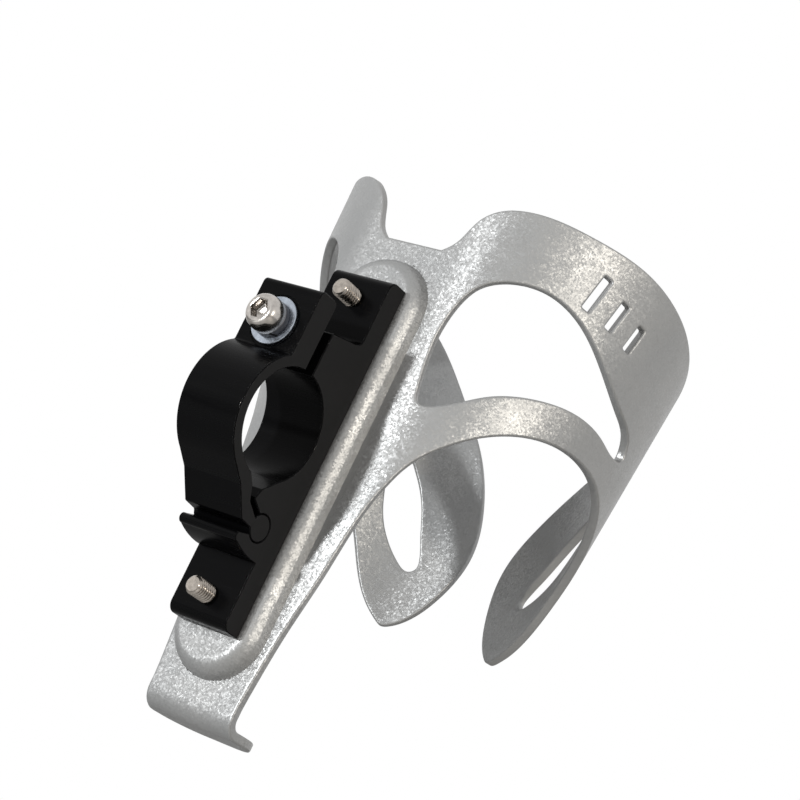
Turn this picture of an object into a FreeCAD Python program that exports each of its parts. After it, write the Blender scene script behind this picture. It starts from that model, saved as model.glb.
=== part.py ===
import FreeCAD, Part
import math
import os

# Bottle cage with a handlebar clamp adapter, in millimetres.
# Origin: centre of the clamp's bore. +X along the handlebar, +Y towards the bottle, +Z up along the bottle.

V = FreeCAD.Vector

# Handlebar clamp
bar_diameter = 22.2
clamp_width = 14.8
strap_wall = 2.4
split_gap = 2.5
rail_thickness = 5.1
rail_overhang = 5.4
bore_to_rail = 15.4
bore_above_screws = 1.0
ear_depth = 5.5
ear_end = 25.4
boss_end = 20.2
bolt_height = 17.0
knuckle_radius = 2.75
knuckle_y = 7.1
knuckle_z = -18.6
edge_break = 0.4

# Cage, drawn with z from the middle between its two screws
screw_spacing = 64.0
sheet = 2.0
boss_rise = 4.3
boss_half_width = 10.3
boss_past_screws = 13.2
boss_centre = -0.8
flat_half_width = 11.2
bend_radius = 13.0
grip_radius = 36.5
grip_height = 25.0
flare = 0.06
front_gap = 10.2
wing_top = 63.4
foot_depth = 54.8
foot_reach = 12.0
foot_bend = 2.0
foot_share = 0.1017
foot_corner = 7.0

# Fasteners, all M4
thread_diameter = 4.0
bolt_head_radius = 3.7
bolt_head_height = 3.7
bolt_length = 18.0
bolt_key = 3.6
bolt_hole_floor = 3.5
flat_washer_radius = 5.0
flat_washer_thickness = 1.0
lock_washer_radius = 3.7
lock_washer_thickness = 1.4
cage_screw_length = 12.0
cage_screw_head_radius = 3.8
cage_screw_head_height = 2.2
cage_screw_key = 2.5

# Arcs that make up one arm's round, and the sag between the stations from which the sheet's cut edges are drawn
grip_arcs = 3
wall_sag = 0.1

# Clearances
thread_clearance = 0.05
hole_clearance = 0.2
knuckle_clearance = 0.08
recess_depth = 0.3
recess_clearance = 0.6

# Derived
boss_half_length = screw_spacing / 2 + boss_past_screws
bore_radius = bar_diameter / 2
strap_radius = bore_radius + strap_wall
shank_radius = thread_diameter / 2 - thread_clearance
half_gap = split_gap / 2
pad_y = bore_to_rail - rail_thickness
rail_low = -bore_above_screws - screw_spacing / 2 - rail_overhang
rail_high = -bore_above_screws + screw_spacing / 2 + rail_overhang
ear_outer = -half_gap - ear_depth
seat_y = ear_outer + recess_depth
plate_outer = boss_rise
plate_inner = boss_rise + sheet
bend_angle = math.asin(flat_half_width / (grip_radius - bend_radius))
bend_end = flat_half_width + bend_radius * bend_angle
half_turn = bend_end + grip_radius * (math.pi - bend_angle)
wing_reach = half_turn - front_gap / 2
bend_level = foot_bend + sheet - foot_depth


def chain(points):
    """Straight edges through (y, z) points on the middle plane."""
    spots = [V(0, y, z) for y, z in points]
    return [Part.makeLine(a, b) for a, b in zip(spots, spots[1:])]


def bow(start, middle, end):
    """Arc through three (y, z) points on the middle plane."""
    return Part.Arc(V(0, *start), V(0, *middle), V(0, *end)).toShape()


def across(edges, width):
    """Solid of the given width along X, centred, from a closed loop of edges on the middle plane."""
    face = Part.Face(Part.Wire(Part.__sortEdges__(edges)))
    face.translate(V(-width / 2, 0, 0))
    return face.extrude(V(width, 0, 0))


def polar(radius, degrees, y=0.0, z=0.0):
    angle = math.radians(degrees)
    return (y + radius * math.cos(angle), z + radius * math.sin(angle))


def edges_through(shape, spots):
    """Edges running along X through the given (y, z) spots."""
    found = []
    for edge in shape.Edges:
        box = edge.BoundBox
        if box.XLength < 1 or box.YLength > 0.01 or box.ZLength > 0.01:
            continue
        for y, z in spots:
            if abs(box.YMin - y) < 0.05 and abs(box.ZMin - z) < 0.05:
                found.append(edge)
    return found


def rod_y(radius, y_from, y_to, x, z):
    """Cylinder along Y between two y values."""
    return Part.makeCylinder(radius, y_to - y_from, V(x, y_from, z), V(0, 1, 0))


def clamp_base():
    """Rail with two pads, the fixed half of the bore, the bolt boss and the hinge socket with its lip."""
    socket = knuckle_radius + knuckle_clearance
    mouth_top = polar(socket, 128, knuckle_y, knuckle_z)
    mouth_low = polar(socket, -136, knuckle_y, knuckle_z)
    bore_start = (half_gap, math.sqrt(bore_radius ** 2 - half_gap ** 2))
    bore_end = polar(bore_radius, -57)
    horn = (knuckle_y - 4.4, knuckle_z + 6.3)
    horn_low = (knuckle_y - 5.2, knuckle_z + 4.0)
    lip_in = (knuckle_y - 4.4, knuckle_z - 2.6)
    lip_tip = (knuckle_y - 5.4, knuckle_z - 3.5)
    lip_out = (knuckle_y - 4.3, knuckle_z - 4.6)
    pad_low = (pad_y, knuckle_z - 6.0)
    boss_foot = (pad_y - 1.6, boss_end + 1.4)
    pad_high = (pad_y, boss_foot[1] + 0.6)
    edges = chain([mouth_low, lip_in])
    edges.append(bow(lip_in, lip_tip, lip_out))
    edges.append(bow(lip_out, (knuckle_y - 1.2, knuckle_z - 5.6), pad_low))
    edges += chain([pad_low, (pad_y, rail_low), (bore_to_rail, rail_low), (bore_to_rail, rail_high)])
    edges += chain([(bore_to_rail, rail_high), (pad_y, rail_high), pad_high, boss_foot])
    edges += chain([boss_foot, (half_gap, boss_end), bore_start])
    edges.append(bow(bore_start, (bore_radius, 0), bore_end))
    edges += chain([bore_end, horn, horn_low, mouth_top])
    edges.append(bow(mouth_top, (knuckle_y + socket, knuckle_z), mouth_low))
    body = across(edges, clamp_width)
    body = body.makeFillet(2.0, edges_through(body, [(pad_y, rail_low), (pad_y, rail_high)]))
    body = body.makeFillet(1.2, edges_through(body, [pad_high, boss_foot]))
    body = body.makeFillet(0.5, edges_through(body, [horn_low, horn, (half_gap, boss_end)]))
    body = broken_faces(body)
    holes = [rod_y(thread_diameter / 2, half_gap - 1, bore_to_rail - bolt_hole_floor, 0, bolt_height)]
    for z in (-screw_spacing / 2, screw_spacing / 2):
        holes.append(rod_y(thread_diameter / 2, pad_y - 1, bore_to_rail + 1, 0, z - bore_above_screws))
    return body.cut(Part.makeCompound(holes))


def broken_faces(body):
    """Fine chamfer round the two flat side faces."""
    edges = []
    for edge in body.Edges:
        box = edge.BoundBox
        if box.XLength < 0.001 and abs(abs(box.XMin) - clamp_width / 2) < 0.001:
            edges.append(edge)
    return body.makeChamfer(edge_break / 2, edges)


def clamp_strap():
    """Hinged half ring with its leg and knuckle below and its bolt ear above."""
    ear_root = (ear_outer, math.sqrt(strap_radius ** 2 - ear_outer ** 2))
    ear_inner = (-half_gap, math.sqrt(bore_radius ** 2 - half_gap ** 2))
    ring_end = polar(strap_radius, -121)
    inner_end = polar(bore_radius, -101)
    neck_top = polar(knuckle_radius, 154, knuckle_y, knuckle_z)
    neck_low = polar(knuckle_radius, -160, knuckle_y, knuckle_z)
    leg_out = [(knuckle_y - 10.6, knuckle_z + 4.6), (knuckle_y - 7.6, knuckle_z + 1.2)]
    leg_out.append((knuckle_y - 6.0, knuckle_z - 0.6))
    leg_in = [(knuckle_y - 7.4, knuckle_z + 6.0), (knuckle_y - 5.9, knuckle_z + 3.2)]
    edges = chain([ear_inner, (-half_gap, ear_end), (ear_outer, ear_end), ear_root])
    edges.append(bow(ear_root, (-strap_radius, 0), ring_end))
    edges += chain([ring_end] + leg_out + [neck_low])
    edges.append(bow(neck_low, (knuckle_y + knuckle_radius, knuckle_z), neck_top))
    edges += chain([neck_top] + leg_in[::-1] + [inner_end])
    edges.append(bow(inner_end, (-bore_radius, 0), ear_inner))
    body = across(edges, clamp_width)
    body = body.makeFillet(1.2, edges_through(body, [(ear_outer, ear_end), (-half_gap, ear_end)]))
    body = body.makeFillet(0.7, edges_through(body, [ear_root, neck_low] + leg_out + leg_in))
    body = broken_faces(body)
    slot_radius = thread_diameter / 2 + hole_clearance
    slot_rise = 2.6
    slot = rod_y(slot_radius, ear_outer - 1, 0, 0, bolt_height)
    slot = slot.fuse(rod_y(slot_radius, ear_outer - 1, 0, 0, bolt_height + slot_rise))
    middle = Part.makeBox(2 * slot_radius, -ear_outer + 1, slot_rise)
    middle.translate(V(-slot_radius, ear_outer - 1, bolt_height))
    recess = rod_y(flat_washer_radius + recess_clearance, ear_outer - 2, seat_y, 0, bolt_height)
    return body.cut(slot.fuse([middle, recess]))


def hex_key(across_flats, depth):
    """Hexagonal socket tool from z = 0 down, open at the top."""
    radius = across_flats / math.sqrt(3)
    corners = [V(*polar(radius, 60 * k), 0.1) for k in range(7)]
    face = Part.Face(Part.makePolygon(corners))
    tip = Part.makeCone(0.4 * across_flats, 0.1, 0.2 * across_flats, V(0, 0, -depth), V(0, 0, -1))
    return face.extrude(V(0, 0, -depth - 0.1)).fuse(tip)


def domed_screw(head_radius, head_height, rim, flat_radius, length, key, key_depth):
    """Screw along Z with its head above z = 0: straight rim, dome in bands, hex socket and chamfered tip."""
    tip = 0.5
    spots = [(0, head_height), (0, -length), (shank_radius - tip, -length), (shank_radius, tip - length)]
    spots += [(shank_radius, 0), (head_radius, 0)]
    for sweep in (0, 45, 90):
        swell = math.cos(math.radians(sweep))
        lift = math.sin(math.radians(sweep))
        spots.append((flat_radius + (head_radius - flat_radius) * swell, rim + (head_height - rim) * lift))
    outline = Part.makePolygon([V(r, 0, z) for r, z in spots + spots[:1]])
    body = Part.Face(outline).revolve(V(0, 0, 0), V(0, 0, 1), 360)
    socket = hex_key(key, key_depth)
    socket.translate(V(0, 0, head_height))
    return body.cut(socket)


def washer(radius, hole, thickness, bevel):
    """Ring along Z from z = 0 up, with broken outer edges."""
    ring = Part.makeCylinder(radius, thickness).cut(Part.makeCylinder(hole, thickness))
    rims = [e for e in ring.Edges if e.BoundBox.XLength > 2 * radius - 0.01 and e.BoundBox.ZLength < 0.01]
    return ring.makeChamfer(bevel, rims)


def lock_washer():
    """Split spring ring with a slanted cut."""
    ring = washer(lock_washer_radius, thread_diameter / 2 + 0.1, lock_washer_thickness, 0.15)
    cut = Part.makeBox(0.5, lock_washer_radius, 3 * lock_washer_thickness)
    cut.translate(V(-0.25, 0.5, -lock_washer_thickness))
    cut.rotate(V(0, 0, lock_washer_thickness / 2), V(0, 1, 0), 25)
    cut.rotate(V(0, 0, 0), V(0, 0, 1), 215)
    return ring.cut(cut)


def on_the_ear(shape, y, z):
    """Turn a fastener drawn along Z so that its head points to -Y, with its seat at (y, z)."""
    shape.rotate(V(0, 0, 0), V(1, 0, 0), 90)
    shape.translate(V(0, y, z))
    return shape


def wrap_radius(z):
    return grip_radius + flare * (z - grip_height)


def wrap_centre(z):
    """Y of the wings' centre, so that the bends run smoothly into the flat plate."""
    reach = wrap_radius(z) - bend_radius
    return plate_inner + bend_radius + math.sqrt(reach ** 2 - flat_half_width ** 2)


def sheet_point(s, z, depth):
    """Point of the bent sheet: s is measured along it from the middle, depth from its bottle side outwards."""
    radius = wrap_radius(z)
    angle = math.asin(flat_half_width / (radius - bend_radius))
    if s <= flat_half_width:
        return V(s, plate_inner - depth, z)
    if s <= bend_end:
        turn = angle * (s - flat_half_width) / (bend_end - flat_half_width)
        x = flat_half_width + (bend_radius + depth) * math.sin(turn)
        return V(x, plate_inner + bend_radius - (bend_radius + depth) * math.cos(turn), z)
    turn = angle + (math.pi - angle) * (s - bend_end) / (half_turn - bend_end)
    return V((radius + depth) * math.sin(turn), wrap_centre(z) - (radius + depth) * math.cos(turn), z)


def arcs_along(points):
    """Arcs through every three points, each starting where the one before ends."""
    return [Part.Arc(*points[i:i + 3]).toShape() for i in range(0, len(points) - 2, 2)]


def sheet_profile(z):
    """Cross-section of the sheet at one height, from the middle plane round to the front."""
    half_arc = (half_turn - 0.5 - bend_end) / (2 * grip_arcs)
    marks = [flat_half_width, (flat_half_width + bend_end) / 2]
    marks += [bend_end + half_arc * i for i in range(2 * grip_arcs + 1)]
    inner = [sheet_point(s, z, 0) for s in marks]
    outer = [sheet_point(s, z, sheet) for s in reversed(marks)]
    start = V(0, plate_inner, z)
    end = V(0, plate_outer, z)
    edges = [Part.makeLine(start, inner[0])] + arcs_along(inner)
    edges += [Part.makeLine(inner[-1], outer[0])] + arcs_along(outer)
    edges += [Part.makeLine(outer[-1], end), Part.makeLine(end, start)]
    return Part.Wire(edges)


def flat_curve(shares):
    """Smooth curve in the developed sheet through stations given as shares of wing reach and wing top."""
    curve = Part.BSplineCurve()
    curve.interpolate([V(a * wing_reach, b * wing_top, 0) for a, b in shares])
    return curve.toShape()


def walls(flat_edges):
    """Cutting walls square to the sheet over edges drawn in the developed sheet."""
    faces = []
    for edge in flat_edges:
        spots = edge.discretize(QuasiDeflection=wall_sag)
        rails = []
        for depth in (-1.5, sheet + 1.5):
            rail = Part.BSplineCurve()
            rail.interpolate([sheet_point(p.x, p.y, depth) for p in spots])
            rails.append(rail.toShape())
        faces += Part.makeLoft([Part.Wire(rail) for rail in rails], False, True).Faces
    return faces


def piece_at(shape, tools, s, z):
    """The piece of a shape, split by the tools, that holds the sheet's middle layer at (s, z)."""
    probe = sheet_point(s, z, sheet / 2)
    for part in shape.generalFuse(tools)[1][0]:
        for solid in part.Solids:
            if solid.isInside(probe, 0.001, False):
                return solid
    raise ValueError("no piece of sheet at %.1f, %.1f" % (s, z))


def wing_outline():
    """Edge of one half of the sheet: plate top, upper arm, front, tip, lower arm and plate side."""
    top = [(0.064, 0.778), (0.085, 0.808), (0.112, 0.9), (0.183, 0.981), (0.293, 1.0), (0.403, 0.997)]
    top += [(0.513, 0.959), (0.641, 0.883), (0.751, 0.782)]
    front = [(0.833, 0.647), (0.911, 0.492), (0.973, 0.3), (1.0, 0.11), (0.98, -0.055), (0.939, -0.174)]
    tip = [(0.912, -0.212), (0.897, -0.221), (0.883, -0.212), (0.842, -0.162), (0.801, -0.079)]
    arm = [(0.76, 0.032), (0.714, 0.134), (0.65, 0.241), (0.577, 0.325), (0.504, 0.366), (0.426, 0.375)]
    arm += [(0.353, 0.349), (0.279, 0.282), (0.224, 0.199), (0.183, 0.11), (0.157, 0.0)]
    side = [(0.141, -0.142), (0.13, -0.315), (0.115, -0.505), (0.1063, -0.662), (foot_share, -0.77)]
    start = V(top[0][0] * wing_reach, top[0][1] * wing_top, 0)
    end = V(side[-1][0] * wing_reach, side[-1][1] * wing_top, 0)
    edges = [Part.makeLine(V(-3, start.y, 0), start)]
    edges.append(flat_curve(top + front + tip[:2]))
    edges.append(flat_curve(tip[1:] + arm + side))
    edges.append(Part.makeLine(end, V(end.x, bend_level - 5, 0)))
    return edges


def closed_curve(shares):
    """Closed smooth curve in the developed sheet."""
    curve = Part.BSplineCurve()
    curve.interpolate([V(a * wing_reach, b * wing_top, 0) for a, b in shares], PeriodicFlag=True)
    return curve.toShape()


def arm_opening():
    """The large gap between the upper and the lower arm."""
    low = [(0.141, 0.347), (0.14, 0.6), (0.165, 0.699), (0.215, 0.757), (0.275, 0.774), (0.339, 0.746)]
    high = [(0.421, 0.662), (0.513, 0.576), (0.577, 0.511), (0.5835, 0.478), (0.559, 0.461), (0.495, 0.478)]
    back = [(0.421, 0.492), (0.339, 0.467), (0.256, 0.402), (0.183, 0.306), (0.154, 0.289)]
    return [closed_curve(low + high + back)]


def leaf_opening():
    """The long hole in the lower tip of a wing."""
    front = [(0.907, 0.038), (0.887, 0.114), (0.863, 0.205), (0.833, 0.29), (0.793, 0.372), (0.755, 0.429)]
    back = [(0.731, 0.432), (0.729, 0.391), (0.756, 0.306), (0.781, 0.196), (0.808, 0.104), (0.838, 0.046)]
    tip = [(0.87, 0.003), (0.896, -0.011), (0.9085, 0.009)]
    return [closed_curve(front + back + tip)]


def vent_slot(s, z, length):
    """Narrow slot leaning ten degrees from the upright, square-ended with small round corners."""
    face = Part.makePlane(1.8, length, V(-0.9, -length / 2, 0))
    wire = face.OuterWire
    wire.rotate(V(0, 0, 0), V(0, 0, 1), -10)
    wire.translate(V(s, z, 0))
    return wire.Edges


def bent_half():
    """One half of the flat plate with its wing, cut to outline from the bent sheet."""
    low = sheet_profile(bend_level)
    high = sheet_profile(wing_top + 3)
    half = Part.makeLoft([low, high], True, True)
    half = piece_at(half, walls(wing_outline()), 5, 0)
    for edges in [arm_opening(), leaf_opening()]:
        half = piece_at(half, walls(edges), 5, 0)
    for share, drop, length in ((0.345, 0.849, 8.0), (0.396, 0.822, 6.5), (0.447, 0.795, 5.9)):
        half = piece_at(half, walls(vent_slot(share * wing_reach, drop * wing_top, length)), 5, 0)
    return half


def foot():
    """Shelf under the bottle, bent from the plate's lower end, with large front corners."""
    half_width = foot_share * wing_reach
    bend_y = plate_inner + foot_bend
    front = plate_inner + foot_reach
    inner = [(plate_inner, bend_level), polar(foot_bend, -135, bend_y, bend_level)]
    inner.append((bend_y, bend_level - foot_bend))
    outer = [(plate_outer, bend_level), polar(foot_bend + sheet, -135, bend_y, bend_level)]
    outer.append((bend_y, -foot_depth))
    edges = [bow(*inner), bow(*outer)]
    edges += chain([inner[2], (front, inner[2][1]), (front, -foot_depth), outer[2]])
    edges += chain([inner[0], outer[0]])
    body = across(edges, 2 * half_width)
    corners = []
    for edge in body.Edges:
        box = edge.BoundBox
        if abs(box.YMin - front) < 0.01 and box.YLength < 0.01 and box.XLength < 0.01:
            corners.append(edge)
    return body.makeFillet(foot_corner, corners)


def obround(half_width, half_length, y):
    """Round-ended outline in a plane of constant y, centred on the boss."""
    straight = half_length - half_width
    high = boss_centre + straight
    low = boss_centre - straight
    edges = [Part.makeLine(V(half_width, y, low), V(half_width, y, high))]
    edges.append(Part.Arc(V(half_width, y, high), V(0, y, high + half_width), V(-half_width, y, high)).toShape())
    edges.append(Part.makeLine(V(-half_width, y, high), V(-half_width, y, low)))
    edges.append(Part.Arc(V(-half_width, y, low), V(0, y, low - half_width), V(half_width, y, low)).toShape())
    return Part.Wire(edges)


def dished(foot_y, top_y, shrink, slope, rounding):
    """Solid of the pressed boss between two planes, with a bevelled edge on its top."""
    wide = obround(boss_half_width - shrink, boss_half_length - shrink, foot_y)
    narrow = obround(boss_half_width - shrink - slope, boss_half_length - shrink - slope, top_y)
    body = Part.makeLoft([wide, narrow], True, True)
    rim = [e for e in body.Edges if e.BoundBox.YLength < 0.01 and abs(e.BoundBox.YMin - top_y) < 0.01]
    return body.makeChamfer(rounding, rim)


def cage():
    """The bent and pressed sheet body, moved into the clamp's frame."""
    half = bent_half()
    body = half.fuse([half.mirror(V(0, 0, 0), V(1, 0, 0)), foot()]).removeSplitter()
    body = body.fuse(dished(plate_outer + sheet / 2, 0, 0, 2.2, 0.8))
    body = body.cut(dished(plate_inner + 0.2, sheet, sheet * 0.85, 1.9, 0.5))
    for z in (-screw_spacing / 2, screw_spacing / 2):
        body = body.cut(rod_y(thread_diameter / 2 + hole_clearance, -1, plate_inner, 0, z))
    body.translate(V(0, bore_to_rail, -bore_above_screws))
    return body


def cage_screw(z):
    """Button-head screw from the bottle side, its tip standing out of the pad."""
    screw = domed_screw(cage_screw_head_radius, cage_screw_head_height, 0.3, 1.9, cage_screw_length,
                        cage_screw_key, 1.3)
    screw.rotate(V(0, 0, 0), V(1, 0, 0), -90)
    screw.translate(V(0, bore_to_rail + sheet, z - bore_above_screws))
    return screw


def main():
    os.makedirs("parts", exist_ok=True)
    stack = seat_y - flat_washer_thickness
    flat = washer(flat_washer_radius, thread_diameter / 2 + 0.15, flat_washer_thickness, 0.12)
    bolt = domed_screw(bolt_head_radius, bolt_head_height, 1.5, 2.5, bolt_length, bolt_key, 2.2)
    parts = {
        "cage": cage(),
        "clamp_base": clamp_base(),
        "clamp_strap": clamp_strap(),
        "clamp_bolt": on_the_ear(bolt, stack - lock_washer_thickness, bolt_height),
        "clamp_lock_washer": on_the_ear(lock_washer(), stack, bolt_height),
        "clamp_flat_washer": on_the_ear(flat, seat_y, bolt_height),
        "cage_screw_lower": cage_screw(-screw_spacing / 2),
        "cage_screw_upper": cage_screw(screw_spacing / 2),
    }
    for name, shape in parts.items():
        shape.exportStep("parts/%s.step" % name)


main()
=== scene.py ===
import math

import bmesh
import bpy
from mathutils import Matrix, Vector


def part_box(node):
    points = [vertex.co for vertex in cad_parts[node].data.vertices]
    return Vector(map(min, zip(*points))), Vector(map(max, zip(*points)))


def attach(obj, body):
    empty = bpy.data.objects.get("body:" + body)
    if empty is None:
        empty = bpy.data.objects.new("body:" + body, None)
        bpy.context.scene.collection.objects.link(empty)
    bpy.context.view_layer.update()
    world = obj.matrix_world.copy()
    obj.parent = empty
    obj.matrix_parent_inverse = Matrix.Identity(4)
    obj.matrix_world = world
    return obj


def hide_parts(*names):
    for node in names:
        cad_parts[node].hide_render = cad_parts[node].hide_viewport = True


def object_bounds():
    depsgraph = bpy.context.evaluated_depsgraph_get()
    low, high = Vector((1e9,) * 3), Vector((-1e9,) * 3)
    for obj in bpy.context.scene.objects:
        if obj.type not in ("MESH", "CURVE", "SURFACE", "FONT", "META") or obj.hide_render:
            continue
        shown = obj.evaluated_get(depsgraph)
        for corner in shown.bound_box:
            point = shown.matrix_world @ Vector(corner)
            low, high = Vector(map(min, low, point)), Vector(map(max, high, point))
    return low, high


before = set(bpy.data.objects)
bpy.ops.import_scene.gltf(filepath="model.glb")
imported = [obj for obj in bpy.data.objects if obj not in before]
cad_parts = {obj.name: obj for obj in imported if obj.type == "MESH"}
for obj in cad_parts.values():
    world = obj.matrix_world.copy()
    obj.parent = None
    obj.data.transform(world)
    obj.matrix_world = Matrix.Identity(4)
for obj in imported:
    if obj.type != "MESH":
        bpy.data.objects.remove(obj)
cad_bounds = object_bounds()

MM = 0.001

# Camera, fitted to the photograph: where it stands round the object, and where it sees one known point
VIEW_AZIMUTH = 38.24
VIEW_ELEVATION = -12.44
VIEW_ROLL = 25.77
VIEW_DISTANCE = 500 * MM
FOCAL_PIXELS = 2594.5
PICTURE_PIXELS = 800
KNOWN_POINT = Vector((0, 15.4, -1.0)) * MM
KNOWN_PIXEL = (294.38, 454.14)
SENSOR_MM = 36.0

# Light, in metres and watts: the cool key stands nearly square to the plate, the warm one beside the near arm
WORLD_LEVEL = 0.3
FLOOR_DROP = 0.20
LAMPS = (
    ("key", (-0.19, -0.95, 0.0), 0.05, 8.0, (0.97, 0.99, 1.0)),
    ("warm", (0.9, -0.3, 0.15), 0.06, 4.0, (1.0, 0.94, 0.84)),
    ("fill", (0.14, -0.66, -0.76), 0.4, 6.0, (1.0, 1.0, 1.0)),
)

# Silver paint
FLAKES_PER_METRE = 2700.0
FLAKE_TILT = 0.31

# Fasteners, M4
THREAD_PITCH = 0.7 * MM
THREAD_CREST = 1.97 * MM
THREAD_ROOT = 1.55 * MM
HEAD_SEGMENTS = 96

# The clamp's slightly rounded edges
EDGE_BREAK = 0.2 * MM
WELD_REACH = 0.002 * MM

# The cage's bent sheet, in millimetres, with z from the middle between its two screws
SHEET = 2.0
EDGE_ROUND = 0.45
SCREW_SPACING = 64.0
SCREW_HOLE = 2.2
BORE_TO_PLATE = 15.4
BORE_ABOVE_SCREWS = 1.0
BOSS_RISE = 4.3
BOSS_HALF_WIDTH = 10.3
BOSS_HALF_LENGTH = 45.2
BOSS_CENTRE = -0.8
BOSS_FOOT = 10.56
BOSS_TOP = 7.6
BOSS_ROUND = 1.8
BOSS_GRID = 0.44
BOSS_INNER_INSET = 1.6
FLAT_HALF_WIDTH = 11.2
BEND_RADIUS = 13.0
GRIP_RADIUS = 36.5
GRIP_HEIGHT = 25.0
FLARE = 0.06
FRONT_GAP = 10.2
WING_TOP = 63.4
FOOT_DEPTH = 54.8
FOOT_REACH = 12.0
FOOT_BEND = 2.0
FOOT_SHARE = 0.1017
FOOT_CORNER = 7.0
SLOT_WIDTH = 1.8
SLOT_LEAN = 10.0
OUTLINE_STEP = 0.5
SLOT_CORNER = 0.3
FOOT_GRID = 0.6
ACROSS_GRID = 1.7
ALONG_GRID = 4.0
CLOSE = 0.0005
PLATE_INNER = BOSS_RISE + SHEET
BEND_ANGLE = math.asin(FLAT_HALF_WIDTH / (GRIP_RADIUS - BEND_RADIUS))
BEND_END = FLAT_HALF_WIDTH + BEND_RADIUS * BEND_ANGLE
HALF_TURN = BEND_END + GRIP_RADIUS * (math.pi - BEND_ANGLE)
WING_REACH = HALF_TURN - FRONT_GAP / 2
BEND_LEVEL = FOOT_BEND + SHEET - FOOT_DEPTH
FOOT_RUN = math.pi / 2 * (FOOT_BEND + SHEET / 2) + FOOT_REACH - FOOT_BEND


# Node helpers

def new_material(name):
    """Empty node material with its Principled shader."""
    material = bpy.data.materials.new(name)
    material.use_nodes = True
    tree = material.node_tree
    tree.nodes.clear()
    shader = tree.nodes.new("ShaderNodeBsdfPrincipled")
    output = tree.nodes.new("ShaderNodeOutputMaterial")
    tree.links.new(shader.outputs["BSDF"], output.inputs["Surface"])
    return material, tree, shader


def node(tree, kind, inputs=None, **settings):
    """New node with its settings, input values and links."""
    made = tree.nodes.new("ShaderNode" + kind)
    for key, value in settings.items():
        setattr(made, key, value)
    for key, value in (inputs or {}).items():
        if isinstance(value, bpy.types.NodeSocket):
            tree.links.new(value, made.inputs[key])
        else:
            made.inputs[key].default_value = value
    return made


def object_place(tree, scale=(1, 1, 1)):
    """Object coordinates, stretched where a finish runs one way."""
    place = node(tree, "TexCoord")
    return node(tree, "Mapping", {"Vector": place.outputs["Object"], "Scale": scale}).outputs["Vector"]


def noise(tree, place, scale, detail=3.0, roughness=0.55):
    """Noise value from 0 to 1."""
    made = node(tree, "TexNoise", {"Vector": place, "Scale": scale, "Detail": detail, "Roughness": roughness})
    return made.outputs["Fac"]


def ramp(tree, fac, stops):
    """Colour ramp over (position, grey or colour) stops."""
    made = node(tree, "ValToRGB", {"Fac": fac})
    band = made.color_ramp
    while len(band.elements) < len(stops):
        band.elements.new(0.5)
    for element, (position, colour) in zip(band.elements, stops):
        element.position = position
        if isinstance(colour, (int, float)):
            colour = (colour, colour, colour)
        element.color = (*colour, 1)
    return made.outputs["Color"]


def set_all(shader, **values):
    """Constant values on the shader's own sockets."""
    for key, value in values.items():
        shader.inputs[key.replace("_", " ")].default_value = value


# Materials

def silver_paint():
    """Silver metallic paint: coarse flakes that glint where the light strikes them."""
    material, tree, shader = new_material("silver_paint")
    place = object_place(tree)
    flakes = node(tree, "TexVoronoi", {"Vector": place, "Scale": FLAKES_PER_METRE}, feature="F1")
    fine = node(tree, "TexVoronoi", {"Vector": place, "Scale": 2 * FLAKES_PER_METRE}, feature="F1")
    both = node(tree, "Mix", {0: 0.4, 6: flakes.outputs["Color"], 7: fine.outputs["Color"]}, data_type="RGBA")
    tilt = node(tree, "VectorMath", {0: both.outputs[2], 1: (0.5, 0.5, 0.5)}, operation="SUBTRACT")
    small = node(tree, "VectorMath", {0: tilt.outputs[0], "Scale": FLAKE_TILT}, operation="SCALE")
    surface = node(tree, "NewGeometry")
    tilted = node(tree, "VectorMath", {0: surface.outputs["Normal"], 1: small.outputs[0]}, operation="ADD")
    normal = node(tree, "VectorMath", {0: tilted.outputs[0]}, operation="NORMALIZE")
    tree.links.new(normal.outputs[0], shader.inputs["Normal"])
    cloud = noise(tree, place, 60.0)
    tone = ramp(tree, cloud, [(0.35, (0.29, 0.292, 0.292)), (0.65, (0.32, 0.32, 0.318))])
    tree.links.new(tone, shader.inputs["Base Color"])
    rough = ramp(tree, noise(tree, place, 140.0), [(0.3, 0.38), (0.7, 0.46)])
    tree.links.new(rough, shader.inputs["Roughness"])
    set_all(shader, Metallic=0.6, Specular_IOR_Level=0.2)
    return material


def black_finish():
    """Gloss black anodised finish, with drawing lines along the extrusion and duller sawn side faces."""
    material, tree, shader = new_material("black_finish")
    place = object_place(tree)
    along = object_place(tree, (0.08, 1, 1))
    sides = node(tree, "TexCoord").outputs["Normal"]
    split = node(tree, "SeparateXYZ", {0: sides})
    facing = node(tree, "Math", {0: split.outputs["X"]}, operation="ABSOLUTE")
    sawn = ramp(tree, facing.outputs[0], [(0.9, 0.0), (0.97, 1.0)])
    polished_tone = (0.0018, 0.0018, 0.002, 1)
    sawn_tone = (0.0135, 0.0135, 0.014, 1)
    tone = node(tree, "Mix", {0: sawn, 6: polished_tone, 7: sawn_tone}, data_type="RGBA")
    tree.links.new(tone.outputs[2], shader.inputs["Base Color"])
    polish = ramp(tree, noise(tree, along, 900.0), [(0.3, 0.2), (0.7, 0.3)])
    dull = node(tree, "Math", {0: sawn, 1: 0.12}, operation="MULTIPLY")
    rough = node(tree, "Math", {0: polish, 1: dull.outputs[0]}, operation="ADD")
    tree.links.new(rough.outputs[0], shader.inputs["Roughness"])
    bump = node(tree, "Bump", {"Height": noise(tree, place, 1400.0), "Strength": 0.12, "Distance": 0.00004})
    tree.links.new(bump.outputs["Normal"], shader.inputs["Normal"])
    set_all(shader, Specular_IOR_Level=0.045)
    return material


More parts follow.
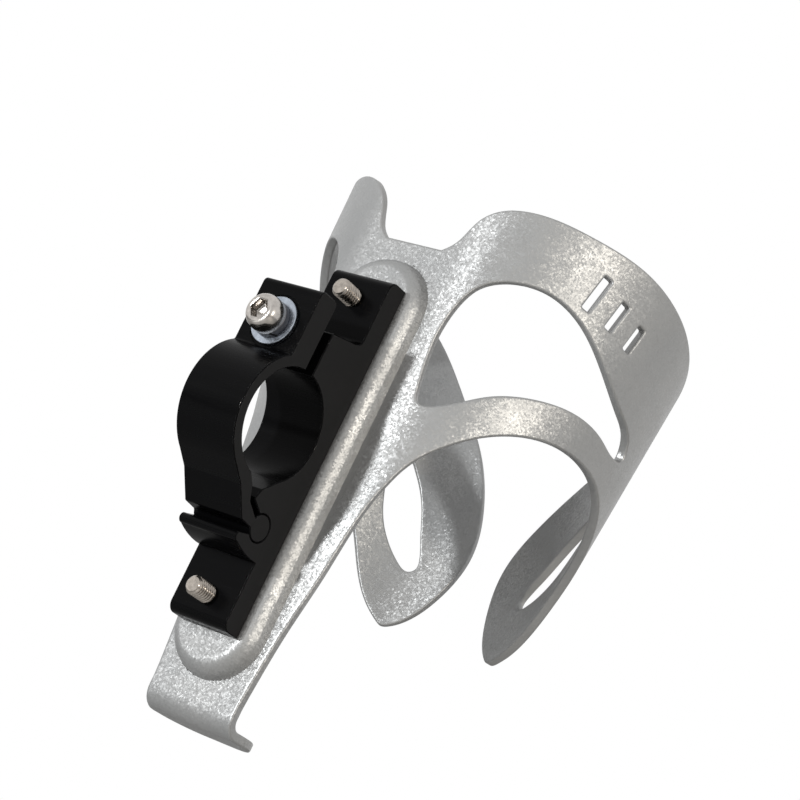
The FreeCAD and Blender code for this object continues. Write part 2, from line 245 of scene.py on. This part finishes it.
def painted_glint_edge():
    """The black finish along its broken edges, metallic and brighter in patches: a painted highlight that
    stands in for the glints of the gloss finish.
    """
    material, tree, shader = new_material("painted_glint_edge")
    place = object_place(tree)
    patches = noise(tree, place, 700.0, 4.0)
    # Painted highlight: patches of brighter metallic colour along the edges stand in for the finish's glints
    tree.links.new(ramp(tree, patches, [(0.42, 0.015), (0.6, 0.22)]), shader.inputs["Base Color"])
    rough = ramp(tree, noise(tree, place, 1600.0), [(0.3, 0.16), (0.7, 0.26)])
    tree.links.new(rough, shader.inputs["Roughness"])
    set_all(shader, Metallic=1.0)
    return material


def turned_steel(name, colour, roughness):
    """Bright fastener metal with uneven patches and small handling marks."""
    material, tree, shader = new_material(name)
    place = object_place(tree)
    patches = noise(tree, place, 900.0, 4.0)
    dark = tuple(0.72 * c for c in colour)
    tree.links.new(ramp(tree, patches, [(0.3, dark), (0.65, colour)]), shader.inputs["Base Color"])
    spread = [(0.3, roughness), (0.7, roughness + 0.12)]
    tree.links.new(ramp(tree, noise(tree, place, 1600.0), spread), shader.inputs["Roughness"])
    bump = node(tree, "Bump", {"Height": noise(tree, place, 3200.0), "Strength": 0.15, "Distance": 0.00003})
    tree.links.new(bump.outputs["Normal"], shader.inputs["Normal"])
    set_all(shader, Metallic=1.0)
    return material


# Threaded fasteners

def hexagon_radius(apothem, angle):
    """Distance from the centre to a regular hexagon's side in one direction."""
    sector = math.radians(60)
    return apothem / math.cos((angle + 1e-9) % sector - sector / 2)


def ring_points(shape, radius, level):
    """Points of one ring, round or hexagonal."""
    points = []
    for k in range(HEAD_SEGMENTS):
        angle = 2 * math.pi * k / HEAD_SEGMENTS
        reach = radius if shape == "round" else hexagon_radius(radius, angle)
        points.append((reach * math.cos(angle), reach * math.sin(angle), level))
    return points


def thread_rings(length, start, tip):
    """Rings of a right-hand thread from under the head to the pointed-off tip."""
    step = THREAD_PITCH / 12
    rings = []
    count = int(length / step)
    for i in range(count + 1):
        level = -length * i / count
        points = []
        for k in range(HEAD_SEGMENTS):
            angle = 2 * math.pi * k / HEAD_SEGMENTS
            turn = (level / THREAD_PITCH - angle / (2 * math.pi)) % 1.0
            tooth = min(1.0, max(0.0, 1.25 - 2.9 * abs(turn - 0.5)))
            radius = THREAD_ROOT + (THREAD_CREST - THREAD_ROOT) * tooth
            if level > -start:
                radius = THREAD_CREST
            radius = min(radius, THREAD_CREST - tip + (length + level))
            points.append((radius * math.cos(angle), radius * math.sin(angle), level))
        rings.append(points)
    return rings


def skin_rings(mesh, rings):
    """Quads between successive rings, with both ends closed to a point."""
    rows = [[mesh.verts.new(p) for p in ring] for ring in rings]
    for upper, lower in zip(rows, rows[1:]):
        for k in range(HEAD_SEGMENTS):
            after = (k + 1) % HEAD_SEGMENTS
            mesh.faces.new((upper[k], lower[k], lower[after], upper[after]))
    for row, flip in ((rows[0], False), (rows[-1], True)):
        centre = sum((v.co for v in row), Vector()) / len(row)
        middle = mesh.verts.new(centre)
        for k in range(HEAD_SEGMENTS):
            after = (k + 1) % HEAD_SEGMENTS
            corner = (row[after], row[k], middle) if flip else (row[k], row[after], middle)
            mesh.faces.new(corner)


def hex_bolt(name, head_radius, head_height, rim, flat_radius, key, key_depth, length, plain, place):
    """Domed hex-socket bolt with a real thread, head up along its own Z, moved by the given matrix."""
    half_key = key / 2
    floor = head_height - key_depth
    rings = [ring_points("hex", 0.45 * half_key, floor - 0.45 * MM)]
    rings += [ring_points("hex", half_key * f, floor + d * MM) for f, d in ((0.93, -0.04), (1.0, 0.04))]
    rings += [ring_points("hex", half_key * f, head_height - d * MM) for f, d in ((1.0, 0.16), (1.03, 0.06))]
    rings += [ring_points("hex", half_key * 1.09, head_height)]
    rings += [ring_points("round", flat_radius * f, head_height) for f in (0.98, 1.0)]
    dome_steps = 14
    for i in range(1, dome_steps + 1):
        sweep = math.pi / 2 * i / dome_steps
        radius = flat_radius + (head_radius - flat_radius) * math.sin(sweep)
        rings.append(ring_points("round", radius, rim + (head_height - rim) * math.cos(sweep)))
    for inset, level in ((0, rim - 0.05 * MM), (0, 0.16 * MM), (0.04 * MM, 0.05 * MM), (0.15 * MM, 0)):
        rings.append(ring_points("round", head_radius - inset, level))
    rings.append(ring_points("round", THREAD_CREST + 0.05 * MM, 0))
    rings += thread_rings(length, plain, 0.5 * MM)
    mesh = bmesh.new()
    skin_rings(mesh, rings)
    bmesh.ops.recalc_face_normals(mesh, faces=mesh.faces)
    return finished_piece(name, mesh, place, 32)


def finished_piece(name, mesh, place, sharp_degrees):
    """Mesh object from a bmesh, moved into the frame, smooth apart from its real edges."""
    mesh.transform(place)
    data = bpy.data.meshes.new(name)
    mesh.to_mesh(data)
    mesh.free()
    made = bpy.data.objects.new(name, data)
    bpy.context.scene.collection.objects.link(made)
    data.shade_smooth()
    data.set_sharp_from_angle(angle=math.radians(sharp_degrees))
    return made


# Formed sheet

def second_slopes(knots, values):
    """Second derivatives of the natural cubic spline through the values."""
    count = len(values)
    sweep = [0.0] * count
    slopes = [0.0] * count
    for i in range(1, count - 1):
        before = knots[i] - knots[i - 1]
        after = knots[i + 1] - knots[i]
        pivot = 2 * (before + after) - before * sweep[i - 1]
        jump = (values[i + 1] - values[i]) / after - (values[i] - values[i - 1]) / before
        sweep[i] = after / pivot
        slopes[i] = (6 * jump - before * slopes[i - 1]) / pivot
    for i in range(count - 2, 0, -1):
        slopes[i] -= sweep[i] * slopes[i + 1]
    return slopes


def smooth_run(shares, closed=False):
    """Dense points of the smooth curve through stations given as shares of wing reach and wing top."""
    spots = [(a * WING_REACH, b * WING_TOP) for a, b in shares]
    lead = 5 if closed else 0
    if closed:
        spots = spots[-lead:] + spots + spots[:lead + 1]
    knots = [0.0]
    for p, q in zip(spots, spots[1:]):
        knots.append(knots[-1] + math.dist(p, q))
    axes = [[p[i] for p in spots] for i in (0, 1)]
    bends = [second_slopes(knots, axis) for axis in axes]
    run = []
    for i in range(lead, len(spots) - 1 - lead):
        span = knots[i + 1] - knots[i]
        pieces = max(2, math.ceil(span / OUTLINE_STEP))
        for k in range(pieces):
            run.append(tuple(cubic_at(axes[j], bends[j], i, span, k / pieces) for j in (0, 1)))
    if not closed:
        run.append(spots[-1])
    return run


def cubic_at(values, bends, i, span, share):
    """Value of the spline a share of the way through its i-th span."""
    rest = 1 - share
    line = rest * values[i] + share * values[i + 1]
    curl = (rest ** 3 - rest) * bends[i] + (share ** 3 - share) * bends[i + 1]
    return line + curl * span * span / 6


def arc_run(centre, radius, start, end, steps=10):
    """Points of an arc, angles in degrees."""
    angles = [math.radians(start + (end - start) * k / steps) for k in range(steps + 1)]
    return [(centre[0] + radius * math.cos(a), centre[1] + radius * math.sin(a)) for a in angles]


def sheet_outline():
    """Closed outline of the whole flat blank, foot shelf included."""
    top = [(0.064, 0.778), (0.085, 0.808), (0.112, 0.9), (0.183, 0.981), (0.293, 1.0), (0.403, 0.997)]
    top += [(0.513, 0.959), (0.641, 0.883), (0.751, 0.782)]
    front = [(0.833, 0.647), (0.911, 0.492), (0.973, 0.3), (1.0, 0.11), (0.98, -0.055), (0.939, -0.174)]
    tip = [(0.912, -0.212), (0.897, -0.221), (0.883, -0.212), (0.842, -0.162), (0.801, -0.079)]
    arm = [(0.76, 0.032), (0.714, 0.134), (0.65, 0.241), (0.577, 0.325), (0.504, 0.366), (0.426, 0.375)]
    arm += [(0.353, 0.349), (0.279, 0.282), (0.224, 0.199), (0.183, 0.11), (0.157, 0.0)]
    side = [(0.141, -0.142), (0.13, -0.315), (0.115, -0.505), (0.1063, -0.662), (FOOT_SHARE, -0.77)]
    right = smooth_run(top + front + tip + arm + side)
    half_width = FOOT_SHARE * WING_REACH
    corner = (half_width - FOOT_CORNER, BEND_LEVEL - FOOT_RUN + FOOT_CORNER)
    right += [(half_width, BEND_LEVEL)] + arc_run(corner, FOOT_CORNER, 0, -90)
    return right + [(-s, z) for s, z in reversed(right)]


def arm_gap():
    """Opening between the upper and the lower band of an arm."""
    low = [(0.141, 0.347), (0.14, 0.6), (0.165, 0.699), (0.215, 0.757), (0.275, 0.774), (0.339, 0.746)]
    high = [(0.421, 0.662), (0.513, 0.576), (0.577, 0.511), (0.5835, 0.478), (0.559, 0.461), (0.495, 0.478)]
    back = [(0.421, 0.492), (0.339, 0.467), (0.256, 0.402), (0.183, 0.306), (0.154, 0.289)]
    return smooth_run(low + high + back, closed=True)


def leaf_gap():
    """Leaf-shaped hole near the tip of an arm."""
    front = [(0.907, 0.038), (0.887, 0.114), (0.863, 0.205), (0.833, 0.29), (0.793, 0.372), (0.755, 0.429)]
    back = [(0.731, 0.432), (0.729, 0.391), (0.756, 0.306), (0.781, 0.196), (0.808, 0.104), (0.838, 0.046)]
    tip = [(0.87, 0.003), (0.896, -0.011), (0.9085, 0.009)]
    return smooth_run(front + back + tip, closed=True)


def vent_slot(share, drop, length):
    """Narrow leaning slot with small round corners."""
    wide = SLOT_WIDTH / 2 - SLOT_CORNER
    tall = length / 2 - SLOT_CORNER
    loop = []
    for side, up, start in ((1, 1, 0), (-1, 1, 90), (-1, -1, 180), (1, -1, 270)):
        loop += arc_run((side * wide, up * tall), SLOT_CORNER, start, start + 90, 4)
    lean = math.radians(-SLOT_LEAN)
    turned = []
    for s, z in loop:
        across = s * math.cos(lean) - z * math.sin(lean)
        along = s * math.sin(lean) + z * math.cos(lean)
        turned.append((share * WING_REACH + across, drop * WING_TOP + along))
    return turned


def blank_loops():
    """The blank's outline and every hole in it."""
    holes = [arm_gap(), leaf_gap()]
    holes += [vent_slot(*slot) for slot in ((0.345, 0.849, 8.0), (0.396, 0.822, 6.5), (0.447, 0.795, 5.9))]
    holes += [[(-s, z) for s, z in reversed(hole)] for hole in holes]
    for z in (-SCREW_SPACING / 2, SCREW_SPACING / 2):
        holes.append(arc_run((0, z), SCREW_HOLE, 0, 352.5, 47))
    return [sheet_outline()] + holes


def flat_blank():
    """Flat sheet with rounded cut edges, as a mesh: x and y in the sheet, z through its thickness."""
    data = bpy.data.curves.new("blank", "CURVE")
    data.dimensions = "2D"
    data.fill_mode = "BOTH"
    data.extrude = SHEET / 2 - EDGE_ROUND
    data.bevel_depth = EDGE_ROUND
    data.bevel_resolution = 3
    data.offset = -EDGE_ROUND
    for loop in blank_loops():
        run = data.splines.new("POLY")
        run.points.add(len(loop) - 1)
        run.use_cyclic_u = True
        for point, (s, z) in zip(run.points, loop):
            point.co = (s, z, 0, 1)
    holder = bpy.data.objects.new("blank", data)
    bpy.context.scene.collection.objects.link(holder)
    bpy.context.view_layer.update()
    flat = bpy.data.meshes.new_from_object(holder.evaluated_get(bpy.context.evaluated_depsgraph_get()))
    mesh = bmesh.new()
    mesh.from_mesh(flat)
    bpy.data.objects.remove(holder)
    bpy.data.curves.remove(data)
    bpy.data.meshes.remove(flat)
    bmesh.ops.remove_doubles(mesh, verts=mesh.verts, dist=CLOSE)
    return mesh


def cut_across(mesh, axis, places, parts):
    """Cut faces at rising places along x or y, in halves, so that each cut meets only its own strip."""
    if not places or not parts:
        return
    half = len(places) // 2
    spot = (places[half], 0, 0) if axis == 0 else (0, places[half], 0)
    normal = (1, 0, 0) if axis == 0 else (0, 1, 0)
    made = bmesh.ops.bisect_plane(mesh, geom=parts, plane_co=spot, plane_no=normal, dist=CLOSE)
    before, after = [], []
    for part in made["geom"]:
        if not isinstance(part, bmesh.types.BMVert):
            middle = sum(v.co[axis] for v in part.verts) / len(part.verts)
            (before if middle < places[half] else after).append(part)
    cut_across(mesh, axis, places[:half], before)
    cut_across(mesh, axis, places[half + 1:], after)


def all_parts(mesh):
    """Every edge and face."""
    return mesh.edges[:] + mesh.faces[:]


def plate_parts(mesh):
    """Edges and faces of the flat plate between the two bends."""
    return [p for p in all_parts(mesh) if all(abs(v.co.x) < FLAT_HALF_WIDTH + 0.01 for v in p.verts)]


def steps(start, end, spacing):
    """Even places from start to end, as close as asked to the spacing."""
    count = max(1, round((end - start) / spacing))
    return [start + (end - start) * k / count for k in range(count + 1)]


def wrap_radius(z):
    """Radius of the arms' round at one height, on the bottle side."""
    return GRIP_RADIUS + FLARE * (z - GRIP_HEIGHT)


def sheet_point(s, z, depth):
    """Point of the bent sheet in millimetres, at a depth from its bottle side."""
    radius = wrap_radius(z)
    angle = math.asin(FLAT_HALF_WIDTH / (radius - BEND_RADIUS))
    if s <= FLAT_HALF_WIDTH:
        return s, PLATE_INNER - depth, z
    if s <= BEND_END:
        turn = angle * (s - FLAT_HALF_WIDTH) / (BEND_END - FLAT_HALF_WIDTH)
        reach = BEND_RADIUS + depth
        return FLAT_HALF_WIDTH + reach * math.sin(turn), PLATE_INNER + BEND_RADIUS - reach * math.cos(turn), z
    turn = angle + (math.pi - angle) * (s - BEND_END) / (HALF_TURN - BEND_END)
    centre = PLATE_INNER + BEND_RADIUS + math.sqrt((radius - BEND_RADIUS) ** 2 - FLAT_HALF_WIDTH ** 2)
    return (radius + depth) * math.sin(turn), centre - (radius + depth) * math.cos(turn), z


def foot_point(s, run, depth):
    """Point of the shelf, by its distance along the sheet from where the lower bend starts."""
    bend_run = math.pi / 2 * (FOOT_BEND + SHEET / 2)
    turn = min(run, bend_run) / (FOOT_BEND + SHEET / 2)
    reach = FOOT_BEND + depth
    y = PLATE_INNER + FOOT_BEND - reach * math.cos(turn) + max(0.0, run - bend_run)
    return s, y, BEND_LEVEL - reach * math.sin(turn)


def boss_reach(s, z):
    """Distance of a spot of the plate from the boss's middle line, and how far it is past the line's end."""
    beyond = max(0.0, abs(z - BOSS_CENTRE) - (BOSS_HALF_LENGTH - BOSS_HALF_WIDTH))
    return math.hypot(s, beyond), beyond


def drawn_to_foot(s, z):
    """Move a spot of the grid near the round foot of the boss onto the nearest line that follows it."""
    reach, beyond = boss_reach(s, z)
    if beyond == 0 or abs(reach - BOSS_FOOT + BOSS_GRID / 2) > BOSS_GRID:
        return s, z
    share = BOSS_GRID * round(reach / BOSS_GRID) / reach
    return s * share, z + math.copysign(beyond * (share - 1), z - BOSS_CENTRE)


def boss_lift(s, z, depth):
    """How far the pressed boss, steep at its foot and round-shouldered, pushes this spot outwards."""
    reach, beyond = boss_reach(s, z)
    inset = 0 if depth > SHEET / 2 else BOSS_INNER_INSET
    share = min(1.0, max(0.0, (BOSS_FOOT - inset - reach) / (BOSS_FOOT - BOSS_TOP)))
    return BOSS_RISE * (1 - (1 - share) ** BOSS_ROUND) ** (1 / BOSS_ROUND)


def formed(co):
    """Bent and pressed place, in metres in the object's frame, of a point of the flat blank."""
    depth = SHEET / 2 - co.z
    side = -1 if co.x < 0 else 1
    s = abs(co.x)
    if co.y < BEND_LEVEL:
        x, y, z = foot_point(s, BEND_LEVEL - co.y, depth)
    else:
        s, level = drawn_to_foot(s, co.y)
        x, y, z = sheet_point(s, level, depth)
        y -= boss_lift(s, level, depth)
    return Vector((side * x, y + BORE_TO_PLATE, z - BORE_ABOVE_SCREWS)) * MM


def make_cage(material):
    """The cage's bent sheet with its rounded cut edges and its pressed boss."""
    mesh = flat_blank()
    wing = WING_REACH + 1
    boss_side = BOSS_GRID * 25
    boss_end = BOSS_HALF_LENGTH + 1
    round_end = 14
    low_end = BOSS_CENTRE - boss_end
    high_end = BOSS_CENTRE + boss_end
    cut_across(mesh, 0, (-FLAT_HALF_WIDTH, FLAT_HALF_WIDTH), all_parts(mesh))
    cut_across(mesh, 0, steps(-boss_side, boss_side, BOSS_GRID), plate_parts(mesh))
    levels = steps(BEND_LEVEL - FOOT_RUN, BEND_LEVEL, FOOT_GRID)
    levels += steps(low_end, low_end + round_end, BOSS_GRID)
    levels += steps(high_end - round_end, high_end, BOSS_GRID)
    cut_across(mesh, 1, levels, plate_parts(mesh))
    cut_across(mesh, 0, steps(-wing, wing, ACROSS_GRID), all_parts(mesh))
    cut_across(mesh, 1, steps(BEND_LEVEL, WING_TOP, ALONG_GRID), all_parts(mesh))
    for vertex in mesh.verts:
        vertex.co = formed(vertex.co)
    bmesh.ops.triangulate(mesh, faces=[f for f in mesh.faces if len(f.verts) > 4])
    bmesh.ops.recalc_face_normals(mesh, faces=mesh.faces)
    cage = finished_piece("cage_sheet", mesh, Matrix.Identity(4), 40)
    cage.data.materials.append(material)
    weighted = cage.modifiers.new("flat_faces", "WEIGHTED_NORMAL")
    weighted.keep_sharp = True
    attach(cage, "holder")
    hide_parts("cage")


# The object

def dress_nodes(looks):
    """Give each CAD node its finish."""
    for name, material in looks.items():
        piece = bpy.data.objects[name]
        piece.data.materials.clear()
        piece.data.materials.append(material)


def break_edges(name, material):
    """Slightly rounded edges on one CAD node, in their own material with its painted highlights."""
    piece = bpy.data.objects[name]
    piece.data.materials.append(material)
    weld = piece.modifiers.new("joined", "WELD")
    weld.merge_threshold = WELD_REACH
    bevel = piece.modifiers.new("broken_edges", "BEVEL")
    bevel.width = EDGE_BREAK
    bevel.segments = 2
    bevel.limit_method = "ANGLE"
    bevel.angle_limit = math.radians(35)
    bevel.material = 1
    weighted = piece.modifiers.new("flat_faces", "WEIGHTED_NORMAL")
    weighted.keep_sharp = False


def node_box(name):
    """Low and high corner of one CAD node."""
    low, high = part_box(name)
    return Vector(low), Vector(high)


def make_clamp_bolt(material):
    """The clamp's bolt with its thread and socket, its head away from the bottle."""
    low, high = node_box("clamp_bolt")
    centre = (low + high) / 2
    head_height = 3.7 * MM
    seat = low.y + head_height
    place = Matrix.Translation((0, seat, centre.z)) @ Matrix.Rotation(math.radians(90), 4, "X")
    bolt = hex_bolt("bolt_threaded", head_radius=3.7 * MM, head_height=head_height, rim=1.5 * MM,
                    flat_radius=2.5 * MM, key=3.6 * MM, key_depth=2.2 * MM,
                    length=high.y - seat, plain=0.6 * MM, place=place)
    bolt.data.materials.append(material)
    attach(bolt, "bolt")
    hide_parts("clamp_bolt")


def make_cage_screw(end, material):
    """One of the two screws from the bottle's side, its tip standing out of the clamp's pad."""
    source = "cage_screw_" + end
    low, high = node_box(source)
    centre = (low + high) / 2
    head_height = 2.2 * MM
    seat = high.y - head_height
    place = Matrix.Translation((0, seat, centre.z)) @ Matrix.Rotation(math.radians(-90), 4, "X")
    screw = hex_bolt("threaded_screw_" + end, head_radius=3.8 * MM, head_height=head_height, rim=0.3 * MM,
                     flat_radius=1.9 * MM, key=2.5 * MM, key_depth=1.3 * MM,
                     length=seat - low.y, plain=0.5 * MM, place=place)
    screw.data.materials.append(material)
    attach(screw, "holder")
    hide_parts(source)


# Stage, light and camera

def background_strength(tree, lit):
    """Full white where it is seen, directly or mirrored, and a chosen level as light."""
    path = node(tree, "LightPath")
    seen = path.outputs["Is Camera Ray"]
    for kind in ("Is Glossy Ray", "Is Transmission Ray"):
        seen = node(tree, "Math", {0: seen, 1: path.outputs[kind]}, operation="MAXIMUM").outputs[0]
    level = node(tree, "MapRange", {"Value": seen, "To Min": lit, "To Max": 1.0})
    return level.outputs["Result"]


def make_world(lit):
    """White studio that lights the object at a chosen level."""
    world = bpy.data.worlds.new("studio")
    bpy.context.scene.world = world
    world.use_nodes = True
    tree = world.node_tree
    tree.nodes.clear()
    shade = node(tree, "Background", {"Color": (1, 1, 1, 1), "Strength": background_strength(tree, lit)})
    output = node(tree, "OutputWorld")
    tree.links.new(shade.outputs[0], output.inputs["Surface"])


def make_floor(level):
    """Wide pale floor under the object."""
    mesh = bmesh.new()
    bmesh.ops.create_grid(mesh, x_segments=8, y_segments=8, size=3.0)
    floor = finished_piece("floor", mesh, Matrix.Translation((0, 0, level)), 30)
    material, tree, shader = new_material("floor_paper")
    grain = noise(tree, object_place(tree), 300.0)
    tree.links.new(ramp(tree, grain, [(0.3, 0.80), (0.7, 0.82)]), shader.inputs["Base Color"])
    set_all(shader, Roughness=0.9)
    floor.data.materials.append(material)


def aim(thing, target):
    """Turn a lamp towards a point."""
    direction = Vector(target) - thing.location
    thing.rotation_euler = direction.to_track_quat("-Z", "Y").to_euler()


def make_lamp(name, place, target, size, watts, colour):
    """Round lamp turned to the object."""
    data = bpy.data.lights.new(name, "AREA")
    data.shape = "DISK"
    data.size = size
    data.energy = watts
    data.color = colour
    lamp = bpy.data.objects.new(name, data)
    bpy.context.scene.collection.objects.link(lamp)
    lamp.location = place
    aim(lamp, target)


def camera_axes():
    """Right, up and backward directions of the camera, in the object's frame."""
    azimuth, elevation, roll = (math.radians(a) for a in (VIEW_AZIMUTH, VIEW_ELEVATION, VIEW_ROLL))
    flat = math.cos(elevation)
    back = Vector((math.sin(azimuth) * flat, -math.cos(azimuth) * flat, math.sin(elevation)))
    right = (-back).cross(Vector((0, 0, 1))).normalized()
    up = right.cross(-back)
    tilted_right = math.cos(roll) * right + math.sin(roll) * up
    tilted_up = math.cos(roll) * up - math.sin(roll) * right
    return tilted_right, tilted_up, back


def make_camera():
    """Camera that sees the known point at its known pixel."""
    right, up, back = camera_axes()
    middle = PICTURE_PIXELS / 2
    across = (KNOWN_PIXEL[0] - middle) / FOCAL_PIXELS * VIEW_DISTANCE
    down = (KNOWN_PIXEL[1] - middle) / FOCAL_PIXELS * VIEW_DISTANCE
    place = KNOWN_POINT - right * across + up * down + back * VIEW_DISTANCE
    data = bpy.data.cameras.new("camera")
    data.sensor_width = SENSOR_MM
    data.lens = FOCAL_PIXELS / PICTURE_PIXELS * SENSOR_MM
    data.clip_start = 0.01
    camera = bpy.data.objects.new("camera", data)
    bpy.context.scene.collection.objects.link(camera)
    turn = Matrix((right, up, back)).transposed().to_4x4()
    camera.matrix_world = Matrix.Translation(place) @ turn
    bpy.context.scene.camera = camera


silver = silver_paint()
black = black_finish()
bolt_metal = turned_steel("bolt_steel", (0.52, 0.49, 0.46), 0.16)
spring_metal = turned_steel("spring_steel", (0.13, 0.13, 0.14), 0.35)
zinc_metal = turned_steel("zinc_steel", (0.40, 0.44, 0.50), 0.2)
screw_metal = turned_steel("screw_steel", (0.40, 0.36, 0.32), 0.2)

dress_nodes({
    "clamp_base": black,
    "clamp_strap": black,
    "clamp_lock_washer": spring_metal,
    "clamp_flat_washer": zinc_metal,
})
# Edge material with painted highlights, put on the clamp's broken edges
edge = painted_glint_edge()
break_edges("clamp_base", edge)
break_edges("clamp_strap", edge)
make_cage(silver)
make_clamp_bolt(bolt_metal)
make_cage_screw("lower", screw_metal)
make_cage_screw("upper", screw_metal)

bpy.context.scene.view_settings.view_transform = "Standard"
make_world(WORLD_LEVEL)
make_floor(cad_bounds[0][2] - FLOOR_DROP)
object_middle = (Vector(cad_bounds[0]) + Vector(cad_bounds[1])) / 2
for name, offset, size, watts, colour in LAMPS:
    make_lamp(name, object_middle + Vector(offset), object_middle, size, watts, colour)
make_camera()
